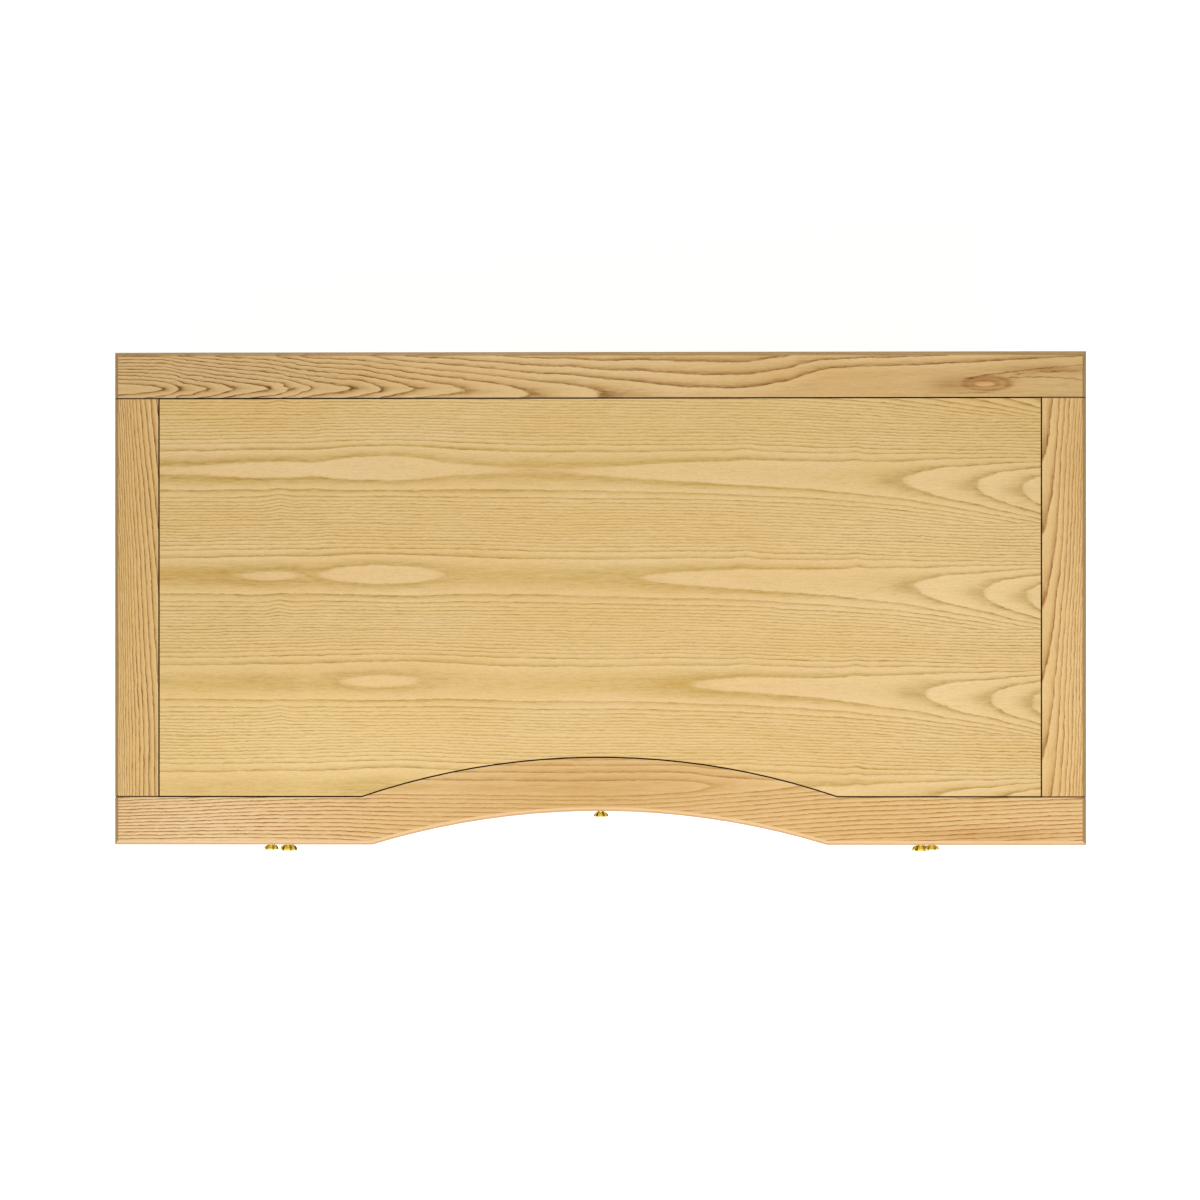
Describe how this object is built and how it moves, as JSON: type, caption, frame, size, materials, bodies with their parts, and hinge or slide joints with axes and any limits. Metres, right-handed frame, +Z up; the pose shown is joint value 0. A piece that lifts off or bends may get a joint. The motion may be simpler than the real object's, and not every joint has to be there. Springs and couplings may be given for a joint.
{
  "type": "executive desk",
  "caption": "Executive desk with a framed veneered top whose front edge curves in over the kneehole, a drawer pedestal at each end, a curved centre drawer and round brass knobs.",
  "frame": {"origin": "on the floor, under the centre of the whole object's bounding box", "axes": "+X to the sitter's right along the length, +Y from the sitter towards the back, +Z up"},
  "size_m": [1.6, 0.838, 0.76],
  "materials": {
    "ash": "satin lacquer over solid ash",
    "ash_veneer": "satin lacquer over slip-matched ash veneer",
    "birch_ply": "plain plywood",
    "brass": "polished",
    "zinc_steel": "zinc plated",
    "nylon": "dark brown nylon"
  },
  "bodies": {
    "desk": {"centre_runners": "ash", "kneehole_rail": "ash", "left_back_panel": "ash_veneer", "left_bottom_board": "birch_ply", "left_drawer_supports": "ash", "left_file_slide_fixed": "zinc_steel", "left_frame_rails": "ash", "left_front_rails": "ash", "left_inner_side_panel": "ash_veneer", "left_legs": "ash", "left_outer_side_panel": "ash_veneer", "leg_glides": "nylon", "modesty_panel": "ash_veneer", "modesty_rails": "ash", "right_back_panel": "ash_veneer", "right_bottom_board": "birch_ply", "right_drawer_supports": "ash", "right_file_slide_fixed": "zinc_steel", "right_frame_rails": "ash", "right_front_rails": "ash", "right_inner_side_panel": "ash_veneer", "right_legs": "ash", "right_outer_side_panel": "ash_veneer", "top_back_rail": "ash", "top_battens": "ash", "top_front_rail": "ash", "top_left_stile": "ash", "top_panel": "ash_veneer", "top_right_stile": "ash", "top_screws": "zinc_steel"},
    "left_top_drawer": {"left_top_drawer_front": "ash", "left_top_drawer_sides": "ash", "left_top_drawer_back": "ash", "left_top_drawer_bottom": "birch_ply", "left_top_drawer_knob": "brass"},
    "left_file_drawer": {"left_file_drawer_front": "ash", "left_file_drawer_sides": "ash", "left_file_drawer_back": "ash", "left_file_drawer_bottom": "birch_ply", "left_file_drawer_knob": "brass", "left_file_slide_moving": "zinc_steel"},
    "left_file_slide": {"left_file_slide_middle": "zinc_steel"},
    "right_top_drawer": {"right_top_drawer_front": "ash", "right_top_drawer_sides": "ash", "right_top_drawer_back": "ash", "right_top_drawer_bottom": "birch_ply", "right_top_drawer_knob": "brass"},
    "right_file_drawer": {"right_file_drawer_front": "ash", "right_file_drawer_sides": "ash", "right_file_drawer_back": "ash", "right_file_drawer_bottom": "birch_ply", "right_file_drawer_knob": "brass", "right_file_slide_moving": "zinc_steel"},
    "right_file_slide": {"right_file_slide_middle": "zinc_steel"},
    "centre_drawer": {"centre_drawer_front": "ash", "centre_drawer_sides": "ash", "centre_drawer_back": "ash", "centre_drawer_bottom": "birch_ply", "centre_drawer_knob": "brass"}
  },
  "joints": [
    {"name": "left_top_drawer_travel", "type": "slide", "parent": "desk", "child": "left_top_drawer", "axis": [0, -1, 0], "range_m": [0, 0.4]},
    {"name": "left_file_drawer_travel", "type": "slide", "parent": "desk", "child": "left_file_drawer", "axis": [0, -1, 0], "range_m": [0, 0.45]},
    {"name": "left_file_slide_travel", "type": "slide", "parent": "desk", "child": "left_file_slide", "axis": [0, -1, 0], "range_m": [0, 0.225]},
    {"name": "right_top_drawer_travel", "type": "slide", "parent": "desk", "child": "right_top_drawer", "axis": [0, -1, 0], "range_m": [0, 0.4]},
    {"name": "right_file_drawer_travel", "type": "slide", "parent": "desk", "child": "right_file_drawer", "axis": [0, -1, 0], "range_m": [0, 0.45]},
    {"name": "right_file_slide_travel", "type": "slide", "parent": "desk", "child": "right_file_slide", "axis": [0, -1, 0], "range_m": [0, 0.225]},
    {"name": "centre_drawer_travel", "type": "slide", "parent": "desk", "child": "centre_drawer", "axis": [0, -1, 0], "range_m": [0, 0.32]}
  ],
  "couplings": [
    {"joint": "left_file_slide_travel", "follows": "left_file_drawer_travel", "ratio": 0.5},
    {"joint": "right_file_slide_travel", "follows": "right_file_drawer_travel", "ratio": 0.5}
  ]
}
